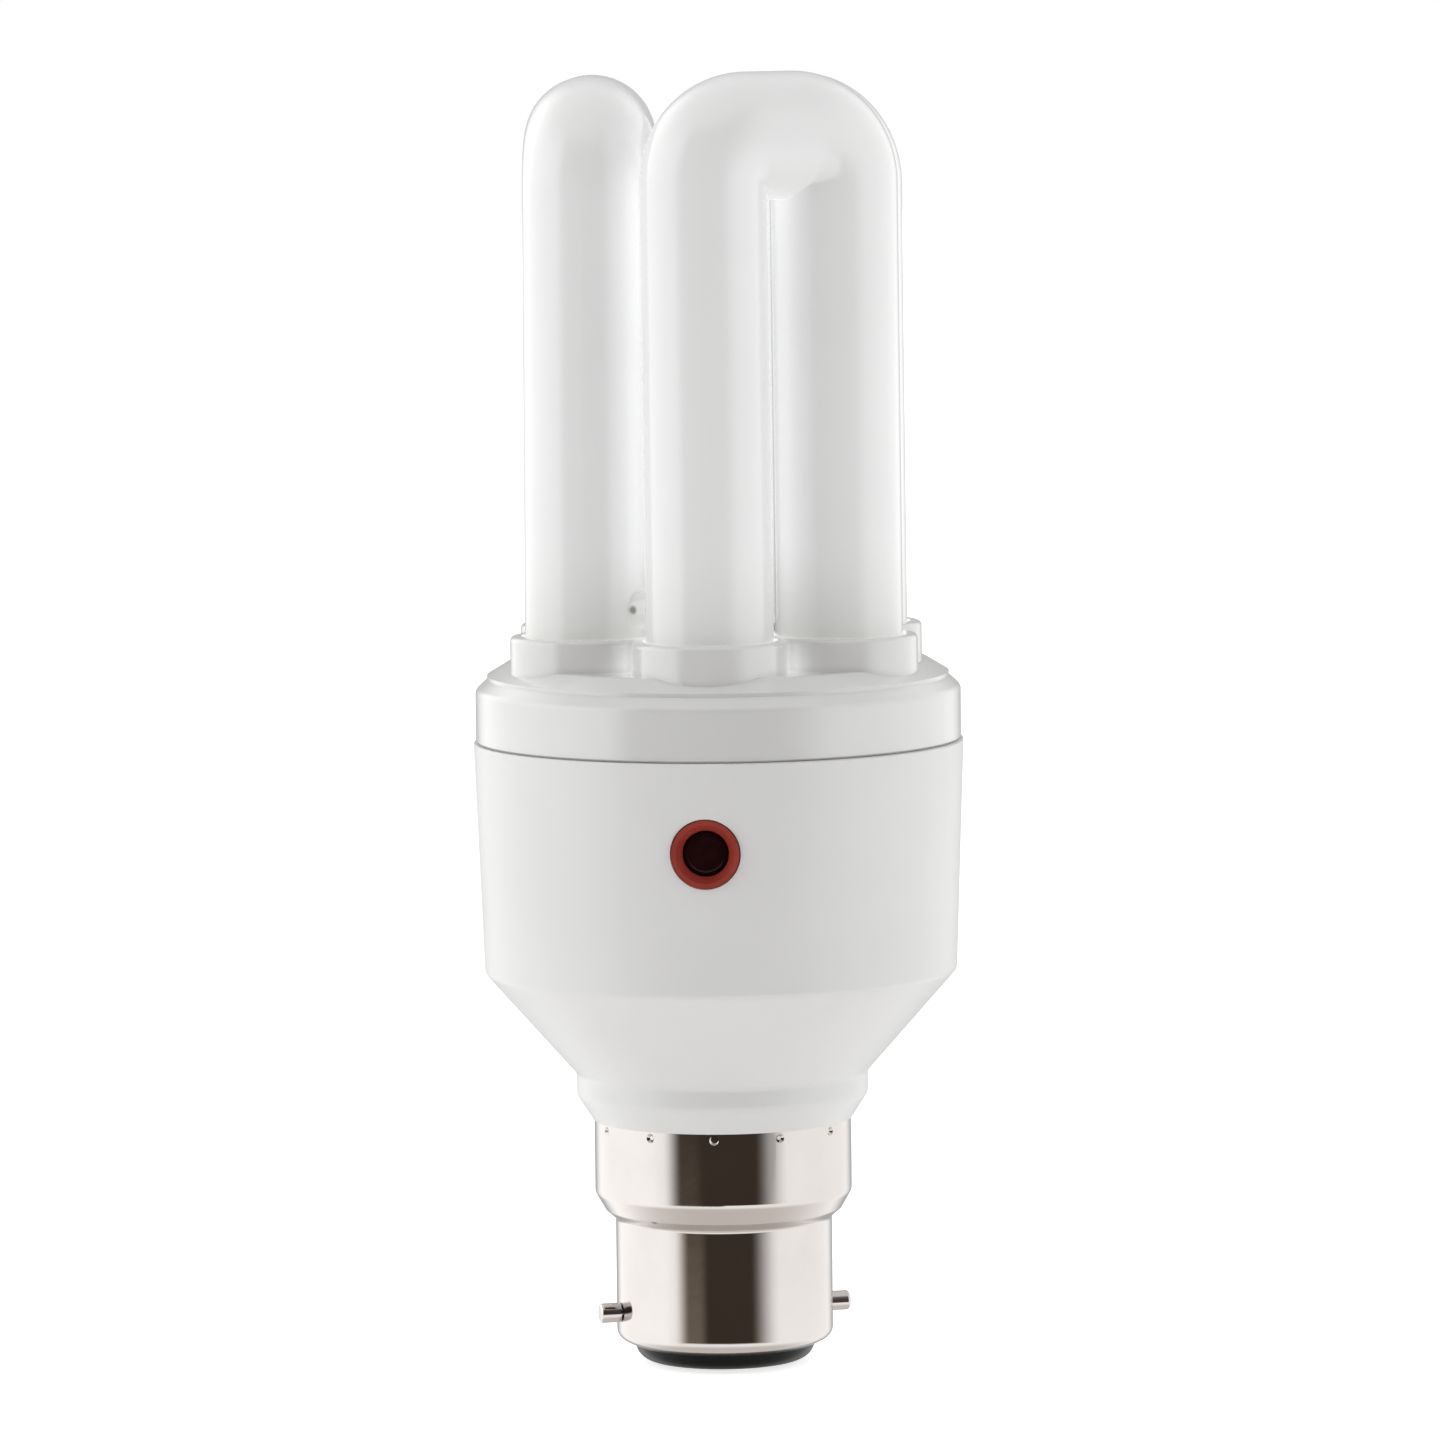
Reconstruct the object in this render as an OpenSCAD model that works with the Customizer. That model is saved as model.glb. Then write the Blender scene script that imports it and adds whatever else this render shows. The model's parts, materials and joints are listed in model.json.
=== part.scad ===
// Compact fluorescent lamp: three folded white glass tubes on a round white ballast housing
// with a dusk sensor, on a two-step bayonet cap. Millimetres. The contacts stand on z = 0, the
// lamp's axis is Z and the sensor faces -Y. An angle of 0 is the front, and angles grow
// towards +X.

/* [Glass tubes] */
// outside diameter of the glass tube
tube_d = 12.8; // [10:0.1:14]
// gap between neighbouring legs
leg_gap = 1.75; // [1.2:0.1:4]
// height of the highest bend above the rims of the cups
tube_rise = 56.3; // [35:0.1:110]
// how far each of the three tubes stands below that height
tube_drop = [0, 0.6, 0.5]; // [0:0.1:3]
// how far each tube leans towards the lamp's axis, in degrees
tube_lean = 0.35; // [0:0.05:0.6]
// how far the closed lower ends of the legs stand above the seam
leg_end_rise = 1.6; // [0.5:0.1:3]
// centreline radius of each corner of a bend
bend_r = 4.7; // [3:0.1:5.5]
// angle of the first leg from the front
first_leg_angle = -3; // [-30:0.1:30]
// diameter of the glass bridges that join neighbouring tubes
bridge_d = 4; // [2:0.1:6]
// height of the glass bridges above the rims of the cups
bridge_rise = 2.9; // [2.2:0.1:20]

/* [Top cover] */
// height of the cover's side wall
cover_wall_h = 5.3; // [3:0.1:9]
// how far the side wall stands outside the cups
cover_margin = 2.15; // [1.6:0.05:5]
// how far the thin step on the shoulder stands in from the side wall
step_in = 1.2; // [0.9:0.05:1.8]
// height of that step above the side wall
step_rise = 1.1; // [0.9:0.05:1.8]
// height of the thin step itself
step_h = 0.4; // [0.1:0.05:0.5]
// how far the flat top stands in from the side wall
shoulder_in = 3.35; // [2.6:0.05:4.5]
// height of the flat top above the thin step
shoulder_rise = 1.7; // [1:0.05:2.5]
// wall of the cups round the legs
cup_wall = 1.15; // [0.8:0.05:2]
// height of the rims of the cups above the flat top
cup_h = 3.2; // [1:0.1:6]
// rounding of the rims of the cups
cup_round = 0.5; // [0.2:0.05:0.6]
// bevel round the cover's lower edge, the dark line of the seam
seam_bevel = 0.25; // [0.1:0.05:0.5]
// how far the cover's spigot reaches into the housing
spigot_depth = 2; // [1.4:0.1:4]
// thickness of the spigot
spigot_wall = 1.2; // [0.8:0.05:1.6]
// radius of the snap bead on the spigot
bead_r = 0.35; // [0.2:0.05:0.5]
// play between a leg and its cup
leg_clearance = 0.3; // [0.15:0.05:0.6]

/* [Lower housing] */
// how far the housing's rim stands out past the cover
seam_lip = 0.25; // [0.05:0.05:0.6]
// how much smaller the radius at the foot of the side wall is than at the rim
wall_draft = 0.85; // [0:0.05:2]
// height of the side wall
wall_h = 23.4; // [20:0.1:34]
// height of the cone under the side wall
cone_h = 10.4; // [7:0.1:16]
// how far the neck flares out above the cap
neck_flare = 1.6; // [0.5:0.05:3]
// height of the straight neck
neck_h = 2.2; // [1:0.1:5]
// height of the flare under the neck
flare_h = 2.5; // [1.5:0.1:5]
// how far the plastic stands out past the cap
neck_lip = 0.15; // [0:0.05:0.5]
// thickness of the plastic
shell_wall = 1.5; // [1.2:0.05:2]
// gap between plastic parts that fit into each other
fit_clearance = 0.1; // [0.05:0.01:0.2]
// length of the spigot inside the cap
neck_spigot = 6.3; // [3:0.1:6.8]

/* [Light sensor] */
// angle of the sensor from the front
sensor_angle = -3.4; // [-30:0.1:30]
// depth of the sensor's middle under the seam
sensor_drop = 9; // [8.8:0.1:16]
// diameter of the coloured ring
bezel_d = 6.8; // [6:0.1:9]
// width of the flat rim of the ring
bezel_rim = 0.5; // [0.2:0.05:0.7]
// how far the ring stands out of the wall
bezel_proud = 0.15; // [0.05:0.05:0.5]
// how far the sensor face lies behind the ring's rim
sensor_recess = 1; // [0.5:0.1:2]
// diameter of the sensor
sensor_d = 4.4; // [3.4:0.1:4.8]
// length of the ring's sleeve
bezel_length = 5; // [3.5:0.1:7]
// diameter of the sensor's leads
lead_d = 0.6; // [0.4:0.05:0.8]
// distance between the sensor's leads
sensor_pitch = 2.54; // [2:0.01:3]
// how far those leads run inwards before they turn up
sensor_lead_run = 1.8; // [1:0.1:3]

/* [Bayonet cap] */
// radius of the lower barrel, a B22 cap
cap_lower_r = 11; // [10:0.05:12]
// how far the upper band stands out past the lower barrel
band_out = 2.05; // [1.5:0.05:2.6]
// thickness of the sheet metal
cap_wall = 0.4; // [0.25:0.05:0.6]
// height of the top of the lower barrel
barrel_top_z = 14.7; // [12:0.1:18]
// height of the shoulder above the lower barrel
cap_shoulder_h = 2.7; // [2:0.1:4]
// height of the upper band
band_h = 7.5; // [7:0.1:10]
// height where the bottom edge starts to turn in
cap_turn_z = 2.6; // [2.4:0.05:3.8]
// height of the cap's bottom edge
cap_edge_z = 1.8; // [1.2:0.05:2]
// radius of the mouth left by the turned-in edge
cap_mouth_r = 9.4; // [8.6:0.05:9.6]
// rounding of the bottom edge
cap_turn_r = 1.2; // [0.5:0.05:2.4]
// number of crimp marks under the top edge
crimp_count = 12; // [6:1:18]
// angle of the first crimp mark
crimp_angle = -4; // [-15:1:15]
// diameter of a crimp mark
crimp_d = 0.8; // [0.5:0.05:1]
// depth of a crimp mark
crimp_depth = 0.25; // [0.1:0.05:0.35]
// depth of the crimp marks under the top edge
crimp_drop = 0.65; // [0.5:0.05:1.5]
// diameter of the bayonet pins
pin_d = 2; // [1.8:0.05:2.2]
// how much thinner a pin is where it passes through the barrel
pin_neck = 0.9; // [0.6:0.05:1.1]
// distance between the tips of the pins
pin_span = 26.3; // [25:0.1:28]
// height of the pins
pin_z = 5.3; // [4.8:0.1:8]
// angle of the pins from the X axis
pin_angle = 15; // [-45:1:45]
// thickness and extra radius of a pin's head inside the barrel
pin_head = [0.7, 0.5]; // [0.3:0.05:1]
// height of the flat underside of the insulator
insulator_base_z = 0.1; // [0:0.05:0.6]
// how far the edge of the insulator's underside lies inside the cap's mouth
insulator_in = 0.8; // [0.4:0.05:1.6]
// rounding of the underside of the insulator
insulator_round = 1.8; // [0.4:0.05:1.8]
// diameter of a contact
contact_d = 4; // [3:0.1:5]
// distance between the contacts
contact_pitch = 8; // [7:0.1:9]
// depth of a contact in the insulator
contact_h = 1.2; // [0.8:0.1:1.4]

/* [Circuit board] */
// gap between the board's edge and the housing's wall
board_inset = 0.8; // [0.4:0.05:1]
// thickness of the board
board_h = 1.6; // [1:0.1:2]
// gap between the board and the cover's spigot
board_clearance = 0.1; // [0.05:0.01:0.3]
// how far the solder tails stand above the board
tail_h = 0.8; // [0.5:0.1:1.2]
// clearance round a lead in its hole
hole_clearance = 0.1; // [0.05:0.01:0.2]
// height of the ledges under the board
ledge_h = 3; // [2:0.1:5]
// width of a ledge
ledge_w = 3; // [2:0.1:4]
// how far a ledge reaches in under the board
ledge_reach = 1.8; // [1:0.1:2.2]

/* [Ballast parts] */
// diameter and length of the bulk capacitor
bulk_size = [10, 19]; // [8:0.5:22]
// distance between the bulk capacitor's leads
bulk_pitch = 5; // [3.5:0.1:7.5]
// depth, width and distance from the board of the groove round the capacitor
bulk_groove = [0.5, 1, 2.2]; // [0.4:0.1:3]
// width, depth and height of the film capacitors
film_size = [10, 5, 9]; // [4:0.5:12]
// length of each film capacitor as a share of that width
film_ratio = [1, 0.8]; // [0.75:0.05:1]
// distance between a film capacitor's leads
film_pitch = 6; // [4:0.1:7]
// width, depth and height of the choke's core
choke_size = [14, 10, 13]; // [9:0.5:16]
// thickness of the legs of the choke's core
choke_leg = 2.6; // [2:0.1:3]
// distance between the choke's pins
choke_pitch = 8; // [6:0.1:9]
// gap between the choke's core and the mains lead beside it
choke_lead_gap = 0.3; // [0.2:0.05:0.6]
// gap between the choke's core and the board
choke_gap = 1; // [0.5:0.1:2]
// width of the feet of the choke's bobbin
bobbin_foot_w = 1.8; // [1.4:0.1:2.4]
// wall of the choke's bobbin
bobbin_wall = 0.7; // [0.5:0.05:0.9]
// outside diameter, inside diameter and width of the ring core
ring_size = [9, 5, 4]; // [3:0.5:10]
// thickness of the wire wound on the ring core
ring_wire = 0.7; // [0.4:0.05:0.9]
// width, depth and height of a transistor
transistor_size = [3.2, 8, 11]; // [2.5:0.1:13]
// distance between a transistor's leads
transistor_pitch = 2.54; // [1.5:0.01:2.6]
// gap between a transistor and the board
transistor_gap = 2; // [1:0.1:3]
// diameter and length of a diode
diode_size = [2.7, 5.2]; // [2:0.1:6]
// distance between neighbouring diodes
diode_pitch = 3.2; // [3:0.05:3.6]
// diameter and length of a resistor
resistor_size = [2.3, 6.3]; // [1.8:0.1:7]
// diameter and length of the fuse resistor
fuse_size = [3.5, 9]; // [2.5:0.1:10]
// how far the leads of these run out before they bend up
lead_run = 0.9; // [0.6:0.05:1.2]
// width, depth and height of the driver chip
chip_size = [9.4, 6.4, 3]; // [2:0.1:10]
// distance between the driver chip's legs
chip_pitch = 2.54; // [1.27:0.01:2.6]
// diameter of the insulated mains leads
mains_lead_d = 1.3; // [1:0.1:1.6]
// diameter of the wires from the glass
tube_wire_d = 0.6; // [0.4:0.05:0.8]
// width and height of the posts for those wires
post_size = [0.9, 3]; // [0.6:0.1:4]
// distance of those posts from the legs' circle
post_pull = 4.2; // [3:0.1:5]
// distance of each post from its leg's radius
post_offset = 2.2; // [1.5:0.1:3]
// wall of the cement round each leg
cement_w = 0.7; // [0.5:0.05:0.9]
// height of the cement round each leg
cement_h = 3; // [2:0.1:4]
// gap between the cement and the glass
cement_gap = 0.05; // [0.03:0.01:0.1]

/* [Hidden] */
$fn = 64;
tube_r = tube_d / 2;
leg_circle_r = tube_d + leg_gap;
leg_pitch = leg_circle_r;
leg_angles = [for (i = [0:5]) first_leg_angle + 60 * i];
electrode_legs = [3, 4];

cap_upper_r = cap_lower_r + band_out;
shoulder_high_z = barrel_top_z + cap_shoulder_h;
cap_top_z = shoulder_high_z + band_h;
crimp_z = cap_top_z - crimp_drop;
cap_band_inner_r = cap_upper_r - cap_wall;
cap_inner_r = cap_lower_r - cap_wall;
mouth_hole_r = cap_mouth_r - cap_wall / 2;
mouth_hole_z = cap_edge_z + 0.9 * cap_wall;
inner_turn_z = cap_turn_z + cap_wall / 2;
inner_turn_r = cap_turn_r - cap_wall;

cup_r = tube_r + leg_clearance + cup_wall;
cover_r = leg_circle_r + cup_r + cover_margin;
cover_step_r = cover_r - step_in;
cover_top_r = cover_r - shoulder_in;
housing_rim_r = cover_r + seam_lip;
housing_foot_r = housing_rim_r - wall_draft;
neck_end_r = cap_upper_r + neck_lip;
neck_r = neck_end_r + neck_flare;
neck_foot_z = cap_top_z + flare_h;
neck_top_z = neck_foot_z + neck_h;
housing_foot_z = neck_top_z + cone_h;
seam_z = housing_foot_z + wall_h;
cover_wall_z = seam_z + cover_wall_h;
cover_step_z = cover_wall_z + step_rise;
cover_top_z = cover_step_z + shoulder_rise;
cup_top_z = cover_top_z + cup_h;
bridge_z = cup_top_z + bridge_rise;
leg_end_z = seam_z + leg_end_rise;
tube_top_z = cup_top_z + tube_rise;

cover_inner_z = cover_top_z - shell_wall;
cavity_r = housing_rim_r - shell_wall;
spigot_r = cavity_r - fit_clearance;
cover_inner_r = spigot_r - spigot_wall;
spigot_z = seam_z - spigot_depth;
bead_z = seam_z - spigot_depth / 2;
neck_spigot_r = cap_band_inner_r - fit_clearance;
neck_spigot_z = cap_top_z - neck_spigot;
neck_bore_r = neck_spigot_r - shell_wall;

sensor_z = seam_z - sensor_drop;
wall_slope = wall_draft / wall_h;
bezel_r = bezel_d / 2;
bezel_face_r = housing_rim_r - wall_slope * sensor_drop + bezel_proud;
sensor_r = sensor_d / 2;
sensor_back_y = bezel_length - bezel_face_r;

contact_angle = pin_angle;
insulator_base_r = cap_mouth_r - insulator_in;
pin_head_d = pin_d + 2 * pin_head[1];
insulator_top_z = pin_z - pin_head_d / 2 - fit_clearance;

board_r = cavity_r - board_inset;
board_top_z = spigot_z - board_clearance;
board_z = board_top_z - board_h;
film_places = [[-6, -8.2, 0], [-13.8, -5.6, 90]];
transistor_places = [[15.4, 4.2], [15.4, -4.9]];
diode_places = [for (i = [0:3]) [0.7 + diode_pitch * i, -12.6]];
resistor_places = [[-8, -13.8, 0], [-9, 14.2, 0], [13.2, 11.6, 90]];
bulk_place = [7.8, -3];
choke_side_x = -sin(contact_angle) * contact_pitch / 2 - mains_lead_d / 2 - choke_lead_gap;
choke_place = [choke_side_x - choke_size[0] / 2, 6];
choke_top_z = board_z - choke_gap;
choke_window_w = choke_size[0] / 2 - 1.5 * choke_leg;
choke_window_h = choke_size[2] - 2 * choke_leg;
ring_place = [8.2, 8.8];
winding_middles = [205, 285, 165];
winding_spans = [50, 50, 30];
fuse_place = [2.4, 15.8];
chip_place = [2, 2.5];
ledge_angles = [85, 172, 262, 327];

// Geometry helpers

// unit vector from a to b
function unit(a, b) = (b - a) / norm(b - a);

// points where a corner's rounding of radius r starts and ends
function tangent(p, q, s, r) =
    let (u = unit(q, p), v = unit(q, s), half = acos(u * v) / 2)
    [q + u * r / tan(half), q + v * r / tan(half)];

// centre of the rounding of corner q
function corner_centre(p, q, s, r) =
    let (u = unit(q, p), v = unit(q, s), half = acos(u * v) / 2)
    q + unit([0, 0], u + v) * r / sin(half);

// more than 0 where an outline drawn anticlockwise turns left at q
function turn(p, q, s) = (q - p)[0] * (s - q)[1] - (q - p)[1] * (s - q)[0];

// Outline of corners [x, y, rounding], anticlockwise, with true arcs at the rounded corners
module rounded_outline(corners) {
    n = len(corners);
    points = [for (c = corners) [c[0], c[1]]];
    cut = [for (i = [0:n - 1]) each corners[i][2] > 0
        ? tangent(points[(i + n - 1) % n], points[i], points[(i + 1) % n], corners[i][2])
        : [points[i]]];
    difference() {
        union() {
            polygon(cut);
            corner_circles(corners, points, 1);
        }
        corner_circles(corners, points, -1);
    }
}

// The circles that round the outward corners (side 1) or the inward corners (side -1)
module corner_circles(corners, points, side) {
    n = len(corners);
    for (i = [0:n - 1]) {
        before = points[(i + n - 1) % n];
        after = points[(i + 1) % n];
        if (corners[i][2] > 0 && side * turn(before, points[i], after) > 0)
            translate(corner_centre(before, points[i], after, corners[i][2]))
                circle(r = corners[i][2]);
    }
}

// A solid turned round the lamp's axis
module turned(corners) {
    rotate_extrude() rounded_outline(corners);
}

// Children moved to an angle from the front and a distance from the axis
module around(angle, distance) {
    rotate([0, 0, angle]) translate([0, -distance, 0]) children();
}

// Children laid out along -Y, away from the axis, at an angle and a height
module pointing_out(angle, distance, z) {
    rotate([0, 0, angle]) translate([0, -distance, z]) rotate([90, 0, 0]) children();
}

// A round rod from a to b
module rod(a, b, d) {
    along = b - a;
    flat = norm([along[0], along[1]]);
    translate(a)
        rotate([0, atan2(flat, along[2]), atan2(along[1], along[0])])
            cylinder(h = norm(along), d = d);
}

// A wire through the points, with round corners
module wire(points, d) {
    for (i = [0:len(points) - 2]) rod(points[i], points[i + 1], d);
    if (len(points) > 2)
        for (i = [1:len(points) - 2]) translate(points[i]) sphere(d = d * 1.02);
}

// Glass

// One folded tube from the leg at this angle to the next leg, its top at this height
module folded_tube(angle, top_z) {
    bend_h = top_z - leg_end_z - tube_r - bend_r;
    // the fold is drawn with its first leg on the Z axis and the second at +X
    rotate([0, 0, angle]) translate([0, -leg_circle_r, leg_end_z]) rotate([0, 0, 30])
        rotate([-tube_lean, 0, 0]) {
            cylinder(h = bend_h, r = tube_r);
            translate([leg_pitch, 0, 0]) cylinder(h = bend_h, r = tube_r);
            translate([bend_r, 0, bend_h]) rotate([90, 0, 0]) quarter_bend(90);
            translate([leg_pitch - bend_r, 0, bend_h]) rotate([90, 0, 0]) quarter_bend(0);
            translate([bend_r, 0, bend_h + bend_r])
                rotate([0, 90, 0]) cylinder(h = leg_pitch - 2 * bend_r, r = tube_r);
        }
}

// A quarter of a ring, from this angle on
module quarter_bend(from) {
    rotate([0, 0, from]) rotate_extrude(angle = 90) intersection() {
        translate([bend_r, 0]) circle(r = tube_r);
        translate([0, -tube_r]) square([bend_r + tube_r, tube_d]);
    }
}

// The short glass bridge between the leg at this angle and the next leg
module glass_bridge(angle) {
    inside = bridge_d / 4;
    rotate([0, 0, angle]) translate([0, -leg_circle_r, bridge_z])
        rotate([0, 0, 30]) rotate([0, 90, 0]) translate([0, 0, tube_r - inside])
            cylinder(h = leg_gap + 2 * inside, d = bridge_d);
}

module discharge_tube() {
    color([0.93, 0.93, 0.92]) union() {
        for (i = [0:2]) folded_tube(leg_angles[2 * i], tube_top_z - tube_drop[i]);
        for (i = [1, 5]) glass_bridge(leg_angles[i]);
    }
}

// The cement ring that fixes leg i under the cover
module tube_cement(i) {
    color([0.85, 0.83, 0.78])
        around(leg_angles[i], leg_circle_r) translate([0, 0, cover_inner_z - cement_h])
            difference() {
                cylinder(h = cement_h, r = tube_r + cement_w);
                translate([0, 0, -1]) cylinder(h = cement_h + 2, r = tube_r + cement_gap);
            }
}

// Housing

module top_cover() {
    color([0.9, 0.9, 0.89]) difference() {
        union() {
            turned([
                [0, spigot_z, 0], [spigot_r, spigot_z, 0], [spigot_r, seam_z, 0],
                [cover_r - seam_bevel, seam_z, 0], [cover_r, seam_z + seam_bevel, 0],
                [cover_r, cover_wall_z, 0.8],
                [cover_step_r, cover_step_z, 0], [cover_step_r, cover_step_z + step_h, 0],
                [cover_top_r, cover_top_z, 0.8], [0, cover_top_z, 0],
            ]);
            translate([0, 0, bead_z]) rotate_extrude() translate([spigot_r, 0])
                circle(r = bead_r);
            for (angle = leg_angles) around(angle, leg_circle_r) cup();
        }
        cover_hollow();
        for (angle = leg_angles) around(angle, leg_circle_r)
            translate([0, 0, spigot_z])
                cylinder(h = cup_top_z - spigot_z + 1, r = tube_r + leg_clearance);
    }
}

// The raised collar round one leg, still without its hole
module cup() {
    foot_z = cover_wall_z;
    rotate_extrude() rounded_outline([
        [0, foot_z, 0], [cup_r, foot_z, 0], [cup_r, cup_top_z, cup_round], [0, cup_top_z, 0],
    ]);
}

// The space inside the cover
module cover_hollow() {
    turned([
        [0, spigot_z - 1, 0], [cover_inner_r, spigot_z - 1, 0],
        [cover_inner_r, cover_inner_z, 0.3], [0, cover_inner_z, 0],
    ]);
}

module lower_housing() {
    color([0.9, 0.9, 0.89]) difference() {
        union() {
            difference() {
                housing_body();
                housing_hollow();
            }
            board_ledges();
        }
        // the hole for the sensor's ring
        pointing_out(sensor_angle, bezel_face_r - bezel_length, sensor_z)
            cylinder(h = 2 * bezel_length, r = bezel_r + fit_clearance);
    }
}

module housing_body() {
    lead_in = shell_wall / 4;
    turned([
        [0, neck_spigot_z, 0], [neck_spigot_r - lead_in, neck_spigot_z, 0],
        [neck_spigot_r, neck_spigot_z + 1.5 * lead_in, 0], [neck_spigot_r, cap_top_z, 0],
        [neck_end_r, cap_top_z, 0], [neck_r, neck_foot_z, 1.5], [neck_r, neck_top_z, 0.8],
        [housing_foot_r, housing_foot_z, 0.8], [housing_rim_r, seam_z, 0.15], [0, seam_z, 0],
    ]);
}

// The space inside the housing, with the groove for the cover's bead
module housing_hollow() {
    turned([
        [0, neck_spigot_z - 1, 0], [neck_bore_r, neck_spigot_z - 1, 0],
        [neck_bore_r, neck_foot_z - 1, 0], [neck_r - shell_wall, neck_top_z, 0],
        [housing_foot_r - shell_wall, housing_foot_z + 0.6, 0],
        [cavity_r, seam_z - spigot_depth - 1, 0], [cavity_r, seam_z + 1, 0], [0, seam_z + 1, 0],
    ]);
    translate([0, 0, bead_z]) rotate_extrude() translate([cavity_r, 0])
        circle(r = bead_r + fit_clearance);
}

// Four ledges that carry the board
module board_ledges() {
    inner_r = board_r - ledge_reach;
    outer_r = cavity_r + shell_wall / 3;
    for (angle = ledge_angles) rotate([0, 0, angle]) translate([0, 0, board_z - ledge_h])
        intersection() {
            translate([-ledge_w / 2, -outer_r, 0]) cube([ledge_w, outer_r - inner_r, ledge_h]);
            cylinder(h = ledge_h, r = outer_r);
        }
}

// Light sensor

module sensor_bezel() {
    funnel_r = bezel_r - bezel_rim;
    color([0.8, 0.2, 0.16]) pointing_out(sensor_angle, bezel_face_r - bezel_length, sensor_z)
        difference() {
            cylinder(h = bezel_length, r = bezel_r);
            translate([0, 0, -1]) cylinder(h = bezel_length + 2, r = sensor_r + fit_clearance);
            translate([0, 0, bezel_length - sensor_recess]) cylinder(
                h = sensor_recess + 0.01, r1 = sensor_r + fit_clearance, r2 = funnel_r);
        }
}

module light_sensor() {
    body_length = bezel_length - sensor_recess;
    color([0.12, 0.06, 0.06])
        pointing_out(sensor_angle, bezel_face_r - bezel_length, sensor_z)
            rotate_extrude() rounded_outline([
                [0, 0, 0], [sensor_r, 0, 0], [sensor_r, body_length, 0.5], [0, body_length, 0],
            ]);
}

// One of the two wires from the sensor up to the board
module sensor_lead(side) {
    x = side * sensor_pitch / 2;
    y = sensor_back_y + sensor_lead_run;
    color([0.75, 0.75, 0.76]) rotate([0, 0, sensor_angle]) wire([
        [x, sensor_back_y, sensor_z], [x, y, sensor_z], [x, y, board_top_z + tail_h],
    ], lead_d);
}

// Bayonet cap

module cap_shell() {
    bend_out_r = cap_lower_r + band_out / 2;
    bend_out_z = barrel_top_z + cap_shoulder_h / 3;
    color([0.72, 0.7, 0.67]) difference() {
        turned([
            [0, cap_edge_z, 0], [cap_mouth_r, cap_edge_z, 0],
            [cap_lower_r, cap_turn_z, cap_turn_r], [cap_lower_r, barrel_top_z, 0.5],
            [bend_out_r, bend_out_z, 0.6], [cap_upper_r, shoulder_high_z, 1],
            [cap_upper_r, cap_top_z, 0], [0, cap_top_z, 0],
        ]);
        turned([
            [0, cap_edge_z - 1, 0], [mouth_hole_r, cap_edge_z - 1, 0],
            [mouth_hole_r, mouth_hole_z, 0], [cap_inner_r, inner_turn_z, inner_turn_r],
            [cap_inner_r, barrel_top_z + 0.7 * cap_wall, 0],
            [bend_out_r - cap_wall / 2, bend_out_z + cap_wall, 0],
            [cap_band_inner_r, shoulder_high_z + cap_wall / 4, 0],
            [cap_band_inner_r, cap_top_z + 1, 0], [0, cap_top_z + 1, 0],
        ]);
        for (i = [0:crimp_count - 1])
            pointing_out(crimp_angle + i * 360 / crimp_count, cap_upper_r, crimp_z)
                crimp_mark();
        for (side = [0, 180])
            pointing_out(90 + pin_angle + side, cap_inner_r - cap_wall, pin_z)
                cylinder(h = 3 * cap_wall, d = pin_d - pin_neck);
    }
}

// A shallow round punch mark, its deepest point towards the axis
module crimp_mark() {
    translate([0, 0, -crimp_depth]) cylinder(h = 1, r1 = crimp_d / 4, r2 = crimp_d * 1.6);
}

// A rivet pin through the barrel, with its head inside
module bayonet_pin(side) {
    head_h = pin_head[0];
    neck_r = (pin_d - pin_neck) / 2;
    step = head_h + cap_wall + fit_clearance;
    tip = pin_span / 2 - cap_inner_r + head_h;
    color([0.7, 0.68, 0.65])
        pointing_out(90 + pin_angle + side, cap_inner_r - head_h, pin_z) {
            intersection() {
                cylinder(h = head_h, d = pin_head_d);
                pin_head_limit(head_h);
            }
            rotate_extrude() rounded_outline([
                [0, 0, 0], [neck_r, 0, 0], [neck_r, step, 0], [pin_d / 2, step, 0],
                [pin_d / 2, tip, pin_d / 6], [0, tip, 0],
            ]);
        }
}

// Keeps the pin's flat head inside the round barrel
module pin_head_limit(head_h) {
    translate([0, 0, head_h - cap_inner_r]) rotate([90, 0, 0])
        translate([0, 0, -pin_head_d]) cylinder(h = 2 * pin_head_d, r = cap_inner_r);
}

module cap_insulator() {
    color([0.05, 0.05, 0.05]) difference() {
        intersection() {
            turned([
                [0, insulator_base_z, 0], [insulator_base_r, insulator_base_z, insulator_round],
                [mouth_hole_r, cap_edge_z, 0], [mouth_hole_r, mouth_hole_z, 0],
                [cap_inner_r, inner_turn_z, inner_turn_r], [cap_inner_r, barrel_top_z, 0],
                [0, barrel_top_z, 0],
            ]);
            cylinder(h = insulator_top_z, r = cap_lower_r);
        }
        for (side = [0, 180]) {
            contact_outline(side);
            around(contact_angle + side, contact_pitch / 2)
                cylinder(h = pin_z, d = mains_lead_d + 2 * fit_clearance);
        }
    }
}

module contact_outline(side) {
    around(contact_angle + side, contact_pitch / 2) cylinder(h = contact_h, d = contact_d);
}

// A domed solder contact
module contact(side) {
    color([0.78, 0.78, 0.76]) around(contact_angle + side, contact_pitch / 2)
        rotate_extrude() rounded_outline([
            [0, 0, 0], [contact_d / 2, 0, contact_h / 4], [contact_d / 2, contact_h, 0],
            [0, contact_h, 0],
        ]);
}

// A mains lead from the board straight down to a contact
module mains_lead(side) {
    color([0.15, 0.2, 0.55]) around(contact_angle + side, contact_pitch / 2)
        translate([0, 0, contact_h]) cylinder(h = board_z - contact_h, d = mains_lead_d);
}

// Ballast

// Places of all the leads that pass through the board
function pair(place, pitch, angle) = [for (s = [-1, 1])
    [place[0] + s * cos(angle) * pitch / 2, place[1] + s * sin(angle) * pitch / 2]];

choke_pins = [for (x = [-1, 1]) for (y = [-1, 1])
    choke_place + [x * choke_pitch / 2, y * (choke_size[1] - bobbin_foot_w) / 2]];

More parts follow.
